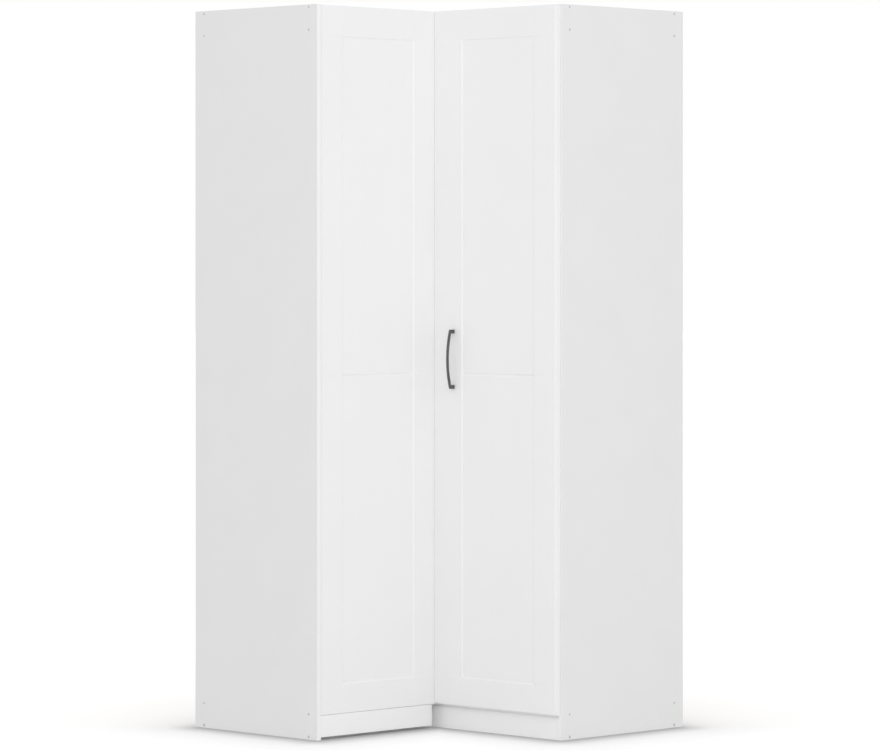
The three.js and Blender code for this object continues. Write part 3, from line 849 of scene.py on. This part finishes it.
class MakeHandle(bpy.types.Operator):
    """Makes the bow handle: a flat strap in an arc between two feet, with rounded edges"""

    bl_idname = "wardrobe.make_handle"
    bl_label = "Bow handle"

    def execute(self, context):
        settings = context.scene.wardrobe_fittings
        lift, strap = settings.handle_lift, settings.handle_strap
        low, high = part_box("handle")
        middle = (low.z + high.z) / 2
        outer, reach = (high.z - low.z) / 2, high.y - low.y
        inner = outer - settings.handle_foot
        outline = [(outer, 0.0), *self.arc(outer, lift, reach), (-outer, 0.0), (-inner, 0.0)]
        outline += [*reversed(self.arc(inner, lift - strap / 2, reach - strap)), (inner, 0.0)]
        bm = bmesh.new()
        near = [bm.verts.new((low.x, high.y - out, middle + up)) for up, out in outline]
        grown = bmesh.ops.extrude_face_region(bm, geom=[bm.faces.new(near)])["geom"]
        moved = [item for item in grown if isinstance(item, bmesh.types.BMVert)]
        bmesh.ops.translate(bm, verts=moved, vec=(high.x - low.x, 0, 0))
        bmesh.ops.recalc_face_normals(bm, faces=bm.faces)
        round_edges(bm, sharp_edges(bm), settings.handle_edge, segments=3)
        mesh = smooth_mesh(bm, "handle", "coat", SOFT_ANGLE)
        add_piece(mesh, "bow_handle", DOOR, ["handle"])
        return {"FINISHED"}

    def arc(self, half, ends, crown, count=32):
        """Points of an arc as pairs of height, from half to minus half, and distance out from the door, which
        is ends at both ends and crown in the middle."""
        rise = crown - ends
        radius = (half * half + rise * rise) / (2 * rise)
        turn = math.asin(half / radius)
        angles = [turn * (1 - 2 * i / count) for i in range(count + 1)]
        return [(radius * math.sin(a), crown - radius + radius * math.cos(a)) for a in angles]


class MakeHinges(bpy.types.Operator):
    """Makes the three cup hinges: cups in the door, arms on the panel, and the links between them"""

    bl_idname = "wardrobe.make_hinges"
    bl_label = "Cup hinges"

    def execute(self, context):
        self.add_cups()
        self.add_arms()
        self.add_links(context.scene.wardrobe_fittings)
        return {"FINISHED"}

    def add_cups(self):
        """Turned bowls, each with a pierced flange across its mouth and a screw above and below."""
        low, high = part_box("hinge_cup_lower")
        x, z = (low.x + high.x) / 2, (low.z + high.z) / 2
        radius, mouth = (high.x - low.x) / 2, high.y
        eye, wall, floor, hollow, lip = 0.4 * MM, 1.6 * MM, 1.4 * MM, 1.2 * MM, 0.4 * MM
        deep = mouth - 0.8 * MM - low.y
        profile = [
            (eye, 0.0),
            (radius - 2 * MM, 0.0),
            (radius - 0.6 * MM, 0.6 * MM),
            (radius, 2 * MM),
            (radius, deep),
            (radius - wall + lip, deep),
            (radius - wall, deep - lip),
            (radius - wall, floor + hollow),
            (radius - wall - hollow, floor),
            (eye, floor),
        ]
        bowl, flange, hole = bmesh.new(), bmesh.new(), bmesh.new()
        add_turned(bowl, profile, Matrix.Translation((x, low.y, z)) @ Matrix.Rotation(-QUARTER_TURN, 4, "X"))
        half, sheet = 10.5 * MM, 1.1 * MM
        add_block(flange, (x - half, mouth - sheet, low.z), (x + half, mouth, high.z), radius=0.5 * MM)
        add_bore(hole, (x, mouth, z), radius - wall, depth=10 * MM)
        plate = carved(flange, hole, "flange")
        bowl.from_mesh(plate)
        bpy.data.meshes.remove(plate)
        names = [f"hinge_cup_{level}" for level in LEVELS]
        add_piece(grow_row(bowl, "hinge_cups"), "hinge_cups", DOOR, names)
        from_end = 5 * MM
        spots = []
        for name in names:
            low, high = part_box(name)
            spots += [((x, mouth, up), (0, 1, 0)) for up in (low.z + from_end, high.z - from_end)]
        grow_fasteners("hinge_cup_screws", DOOR, spots, head_radius=3.4, head_depth=1.6, drive_sides=4)

    def add_arms(self):
        """Arms from the CAD, each with two screws through its plate and two along its back."""
        arms = softened("hinge_arm_lower", radius=0.9 * MM, shortest=3 * MM)
        names = [f"hinge_arm_{level}" for level in LEVELS]
        add_piece(grow_row(arms, "hinge_arms"), "hinge_arms", CARCASS, names)
        plate_face, arm_face, from_end = 5 * MM, 12.5 * MM, 6 * MM
        plate_back, arm_backs = 24 * MM, (12 * MM, 34 * MM)
        spots = []
        for name in names:
            low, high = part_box(name)
            middle = (low.z + high.z) / 2
            places = [(plate_face, plate_back, z) for z in (low.z + from_end, high.z - from_end)]
            places += [(arm_face, back, middle) for back in arm_backs]
            spots += [((high.x - face, high.y - back, z), (-1, 0, 0)) for face, back, z in places]
        grow_fasteners("hinge_arm_screws", CARCASS, spots, head_radius=3.6, head_depth=1.8, drive_sides=4)

    def add_links(self, settings):
        """Two strips beside each arm's tip, which run towards the cup and sag a little in the middle."""
        low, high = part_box("hinge_cup_lower")
        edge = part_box("right_door")[1].x
        centre = (low.z + high.z) / 2
        depth = low.y + 5.5 * MM
        start, end = edge - 27 * MM, edge - 11 * MM
        aside, most_sag, count = 5.6 * MM, 1.2 * MM, 20
        bm = bmesh.new()
        for side in (-1, 1):
            z0 = centre + side * aside
            z1 = z0 + side * settings.link_height
            rings = []
            for i in range(count + 1):
                x = start + (end - start) * i / count
                y0 = depth - most_sag * math.sin(math.pi * i / count)
                y1 = y0 + settings.link_thickness
                rings.append([bm.verts.new(p) for p in ((x, y0, z0), (x, y1, z0), (x, y1, z1), (x, y0, z1))])
            join_rings(bm, rings)
            bm.faces.new(rings[0])
            bm.faces.new(rings[-1])
        bmesh.ops.recalc_face_normals(bm, faces=bm.faces)
        links = add_object("hinge_links", grow_row(bm, "hinge_links"))
        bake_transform(links)


class MakeClothesRail(bpy.types.Operator):
    """Makes the bent clothes rail, its two sockets and the hanger at its bend"""

    bl_idname = "wardrobe.make_clothes_rail"
    bl_label = "Clothes rail"

    def execute(self, context):
        low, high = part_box("clothes_rail")
        bend, count = context.scene.wardrobe_fittings.rail_bend, 24
        radius = (high.z - low.z) / 2
        x, y, z = low.x + radius, high.y - radius, (low.z + high.z) / 2
        turns = [QUARTER_TURN * i / count for i in range(count + 1)]
        arc = [(x + bend * (1 - math.cos(turn)), y - bend * (1 - math.sin(turn)), z) for turn in turns]
        points = [(x, low.y, z), *arc, (high.x, y, z)]
        curve = bpy.data.curves.new("rail_path", "CURVE")
        curve.dimensions = "3D"
        spline = curve.splines.new("POLY")
        spline.points.add(len(points) - 1)
        for point, place in zip(spline.points, points):
            point.co = (*place, 1.0)
        mesh = grow("rail_path", curve, "tube_on_path", {"Radius": radius, "Material": finish("chrome")})
        add_piece(mesh, "clothes_rail_tube", CARCASS, ["clothes_rail"])
        self.add_sockets(radius)
        self.add_hanger(radius, z)
        return {"FINISHED"}

    def add_sockets(self, radius):
        """Turned cups on the side panels, each with two screws through its flange."""
        bore, deep = radius + 0.3 * MM, 14
        # Radius and height in millimetres, up the outside from the panel to the mouth.
        outside = [(24, 0), (24, 2.2), (23.2, 3), (17.4, 3), (16, 4.4), (16, 13.2), (15.2, deep)]
        profile = [(bore, 0), *((r * MM, h * MM) for r, h in outside), (bore, deep * MM)]
        under_head, from_centre = 3.4 * MM, 20.2 * MM
        spots = []
        for node, way in (("left_rail_socket", (0, 1, 0)), ("right_rail_socket", (-1, 0, 0))):
            way = Vector(way)
            low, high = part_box(node)
            base = (low + high) / 2 - way * deep / 2 * MM
            turn = Vector((0, 0, 1)).rotation_difference(way).to_matrix().to_4x4()
            bm = bmesh.new()
            add_turned(bm, profile, Matrix.Translation(base) @ turn)
            mesh = smooth_mesh(bm, node, "chrome", SOFT_ANGLE)
            add_piece(mesh, f"{node}_turned", CARCASS, [node])
            spots += [(base + way * under_head + Vector((0, 0, s * from_centre)), way) for s in (-1, 1)]
        sizes = {"head_radius": 2.6, "head_depth": 1.6, "drive_radius": 1.4, "drive_sides": 4}
        grow_fasteners("rail_socket_screws", CARCASS, spots, **sizes)

    def add_hanger(self, radius, z):
        """A band round the rail's bend, a stem and a plate under the shelf, drawn along X and turned."""
        low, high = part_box("rail_hanger")
        centre = (low + high) / 2
        inner, outer, half, soft = radius + 0.7 * MM, radius + 3.7 * MM, 6 * MM, 0.6 * MM
        section = [(inner, -half), (outer - soft, -half), (outer, soft - half)]
        profile = section + [(r, -h) for r, h in reversed(section)]
        top, side, sheet, lap = high.z - z, 22 * MM, 3 * MM, 1.5 * MM
        bm = bmesh.new()
        add_turned(bm, profile, Matrix.Rotation(QUARTER_TURN, 4, "X"))
        add_block(bm, (-half, -half, outer - lap), (half, half, top - 1 * MM), radius=0.8 * MM)
        add_block(bm, (-side, -side, top - sheet), (side, side, top), radius=1.0 * MM)
        bm.transform(Matrix.Translation((centre.x, centre.y, z)) @ Matrix.Rotation(-math.pi / 4, 4, "Z"))
        mesh = smooth_mesh(bm, "rail_hanger", "chrome", CRISP_ANGLE)
        add_piece(mesh, "rail_hanger_formed", CARCASS, ["rail_hanger"])
        out, under = 18 * MM, high.z - 3.2 * MM
        spots = [
            (Vector((centre.x + a * out, centre.y + b * out, under)), (0, 0, -1))
            for a, b in ((-1, 0), (1, 0), (0, -1), (0, 1))
        ]
        grow_fasteners("rail_hanger_screws", CARCASS, spots, head_radius=3, head_depth=1.6, drive_sides=4)


class MakeFasteners(bpy.types.Operator):
    """Makes the connector screws in the side panels and the screws of the handle and the fixed front"""

    bl_idname = "wardrobe.make_fasteners"
    bl_label = "Screws"

    def execute(self, context):
        for group, way in (("left_connector", Vector((0, -1, 0))), ("right_connector", Vector((1, 0, 0)))):
            nodes, places = self.heads(group, way, depth=3 * MM, lift=-0.25 * MM)
            grow_fasteners(f"{group}_screws", CARCASS, places, nodes, drive_radius=1.8, drive_depth=2.2)
        sizes = {"head_radius": 4, "head_depth": 2, "drive_depth": 1.2, "drive_sides": 4}
        rest = (("handle_screw", Vector((0, 1, 0)), DOOR), ("front_screw", Vector((-1, 0, 0)), CARCASS))
        for group, way, body in rest:
            nodes, places = self.heads(group, way, depth=2 * MM, lift=0.0)
            grow_fasteners(f"{group}s", body, places, nodes, **sizes)
        return {"FINISHED"}

    def heads(self, group, way, depth, lift):
        """A group's nodes, and the middle and the facing of each one's head. The head's outer face is the
        node's end along the way it faces, moved out by lift."""
        nodes = [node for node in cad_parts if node.startswith(group)]
        places = []
        for node in nodes:
            low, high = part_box(node)
            reach = abs((high - low).dot(way)) / 2
            places.append(((low + high) / 2 + way * (reach - depth / 2 + lift), way))
        return nodes, places


class MakeStage(bpy.types.Operator):
    """Makes the pale floor, the soft lights and the camera of the photograph"""

    bl_idname = "wardrobe.make_stage"
    bl_label = "Studio"

    # How bright the floor's own light is at these distances from the wardrobe's foot, in millimetres. The low
    # levels near the foot paint a shadow there.
    GLOW_WITH_PAINTED_SHADOW = {0: 0.11, 18.6: 0.125, 37: 0.27, 74: 0.43, 112: 0.55, 186: 0.615, 320: 0.67, 2000: 0.85}

    def execute(self, context):
        scene = context.scene
        settings = scene.wardrobe_stage
        self.add_floor(settings.floor_reach)
        self.add_sky(scene, settings.sky)
        self.add_lamp("front_softbox", (4.6, -5.6, 4.6), 4.0, settings.key)
        self.add_lamp("side_softbox", (6.4, -2.2, 3.0), 3.5, settings.fill)
        self.add_camera(scene, settings)
        scene.view_settings.view_transform = "Standard"
        return {"FINISHED"}

    def add_floor(self, reach):
        """A matt white floor. The camera and gloss see it darker, with light of its own added, so that the
        floor is white.
        That light fades out at the wardrobe's foot and paints a shadow there, on top of the real shadow."""
        mesh = bpy.data.meshes.new("floor")
        under = -0.2 * MM
        signs = ((-1, -1), (1, -1), (1, 1), (-1, 1))
        mesh.from_pydata([(x * reach, y * reach, under) for x, y in signs], [], [(0, 1, 2, 3)])
        material, tree, place = new_material("matt_white_floor")
        tone = ramp(tree, grain(tree, place, 900.0), [(0.3, linear("EDEDED")), (0.7, linear("EFEFEF"))])
        matt = add_node(tree, "ShaderNodeBsdfDiffuse", {"Color": tone})
        dark = add_node(tree, "ShaderNodeBsdfDiffuse", {"Color": (0.4, 0.4, 0.4, 1)})
        farthest = max(self.GLOW_WITH_PAINTED_SHADOW)
        share = calculated(tree, "MULTIPLY", self.painted_shadow_distance(tree, place), 1 / farthest)
        # The floor's own light fades out near the wardrobe's foot, which paints a shadow there.
        light = ramp(tree, share, [(away / farthest, [level] * 3) for away, level in self.GLOW_WITH_PAINTED_SHADOW.items()])
        glow_with_painted_shadow = add_node(tree, "ShaderNodeEmission", {"Color": light, "Strength": 1.0})
        both = add_node(tree, "ShaderNodeAddShader", {0: dark, 1: glow_with_painted_shadow})
        seen = self.seen_by(tree, "Is Camera Ray", "Is Glossy Ray")
        mixed = add_node(tree, "ShaderNodeMixShader", {"Fac": seen, 1: matt, 2: both})
        add_node(tree, "ShaderNodeOutputMaterial", {"Surface": mixed})
        mesh.materials.append(material)
        floor = add_object("floor", mesh)

    def seen_by(self, tree, *kinds):
        """1 for rays of these kinds, and 0 for others."""
        rays = add_node(tree, "ShaderNodeLightPath").outputs
        seen = rays[kinds[0]]
        for kind in kinds[1:]:
            seen = calculated(tree, "MAXIMUM", seen, rays[kind])
        return seen

    def painted_shadow_distance(self, tree, place):
        """The distance on the floor from the wardrobe's L, in millimetres: the smaller one of its two wings.
        It places the floor's painted shadow. The L stays clear of the wall sides, where the painted shadow is
        narrower."""
        low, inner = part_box("left_side_panel")
        start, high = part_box("right_side_panel")
        wall = 40 * MM
        back_x, back_y = low.x + wall, high.y - wall
        found = []
        for near, far in (((back_x, low.y), (inner.x, back_y)), ((back_x, start.y), (high.x, back_y))):
            centre = [(n + f) / 2 / MM for n, f in zip(near, far)]
            half = [(f - n) / 2 / MM for n, f in zip(near, far)]
            value = place
            for operation, by in (
                ("SUBTRACT", (*centre, 0.0)),
                ("ABSOLUTE", (0, 0, 0)),
                ("SUBTRACT", (*half, 1.0)),
                ("MAXIMUM", (0, 0, 0)),
            ):
                value = add_node(tree, "ShaderNodeVectorMath", {0: value, 1: by}, operation=operation)
            distance = add_node(tree, "ShaderNodeVectorMath", {0: value}, operation="LENGTH")
            found.append(distance.outputs["Value"])
        return calculated(tree, "MINIMUM", *found)

    def add_sky(self, scene, strength):
        """Even light from all round, which the camera, gloss and glass see as plain white."""
        world = bpy.data.worlds.new("studio")
        world.use_nodes = True
        tree = world.node_tree
        tree.nodes.clear()
        seen = self.seen_by(tree, "Is Camera Ray", "Is Glossy Ray", "Is Transmission Ray")
        inputs = {"Color": (1, 1, 1, 1), "Strength": spread(tree, seen, strength, 1.0)}
        background = add_node(tree, "ShaderNodeBackground", inputs)
        add_node(tree, "ShaderNodeOutputWorld", {"Surface": background})
        scene.world = world

    def add_lamp(self, name, place, size, power):
        """A square softbox at a place, in metres, that faces the wardrobe's middle."""
        lamp = bpy.data.lights.new(name, "AREA")
        lamp.shape = "SQUARE"
        lamp.size = size
        lamp.energy = power
        holder = add_object(name, lamp)
        holder.location = place
        middle = Vector((0, 0, 1.0))
        holder.rotation_mode = "QUATERNION"
        holder.rotation_quaternion = (middle - Vector(place)).to_track_quat("-Z", "Y")

    def add_camera(self, scene, settings):
        """The photograph's camera, level, with its horizon above the middle of the frame."""
        data = bpy.data.cameras.new("photo_camera")
        camera = add_object("photo_camera", data)
        data.sensor_width = 36.0
        data.lens = data.sensor_width * settings.focal_pixels / PHOTO_WIDTH
        data.shift_y = (settings.horizon_row - PHOTO_HEIGHT / 2) / PHOTO_WIDTH
        camera.location = (settings.camera_x, -settings.camera_y, settings.camera_z)
        camera.rotation_euler = (QUARTER_TURN, 0.0, math.radians(settings.camera_azimuth))
        data.clip_start, data.clip_end = 0.1, 200.0
        scene.camera = camera


OPERATORS = [
    MakeSidePanels,
    MakeBoards,
    MakePlinths,
    MakeBackPanels,
    MakeFronts,
    MakeHandle,
    MakeHinges,
    MakeClothesRail,
    MakeFasteners,
    MakeStage,
]
GROUPS = {
    "wardrobe_boards": BoardSettings,
    "wardrobe_fronts": FrontSettings,
    "wardrobe_fittings": FittingSettings,
    "wardrobe_stage": StageSettings,
}


class WardrobePanel(bpy.types.Panel):
    """Lists the wardrobe's settings and the operators that make its pieces"""

    bl_idname = "VIEW3D_PT_corner_wardrobe"
    bl_label = "Corner wardrobe"
    bl_space_type = "VIEW_3D"
    bl_region_type = "UI"
    bl_category = "Wardrobe"

    def draw(self, context):
        for operator in OPERATORS:
            self.layout.operator(operator.bl_idname)
        for name, group in GROUPS.items():
            box = self.layout.box()
            for field in group.__annotations__:
                box.prop(getattr(context.scene, name), field)


def register():
    for made in [*GROUPS.values(), *OPERATORS, WardrobePanel]:
        bpy.utils.register_class(made)
    for name, group in GROUPS.items():
        setattr(bpy.types.Scene, name, PointerProperty(type=group))


def unregister():
    for name in GROUPS:
        delattr(bpy.types.Scene, name)
    for made in reversed([*GROUPS.values(), *OPERATORS, WardrobePanel]):
        bpy.utils.unregister_class(made)


def main():
    register()
    for operator in OPERATORS:
        group, name = operator.bl_idname.split(".")
        getattr(getattr(bpy.ops, group), name)()
    bpy.context.view_layer.update()


if __name__ == "__main__":
    main()
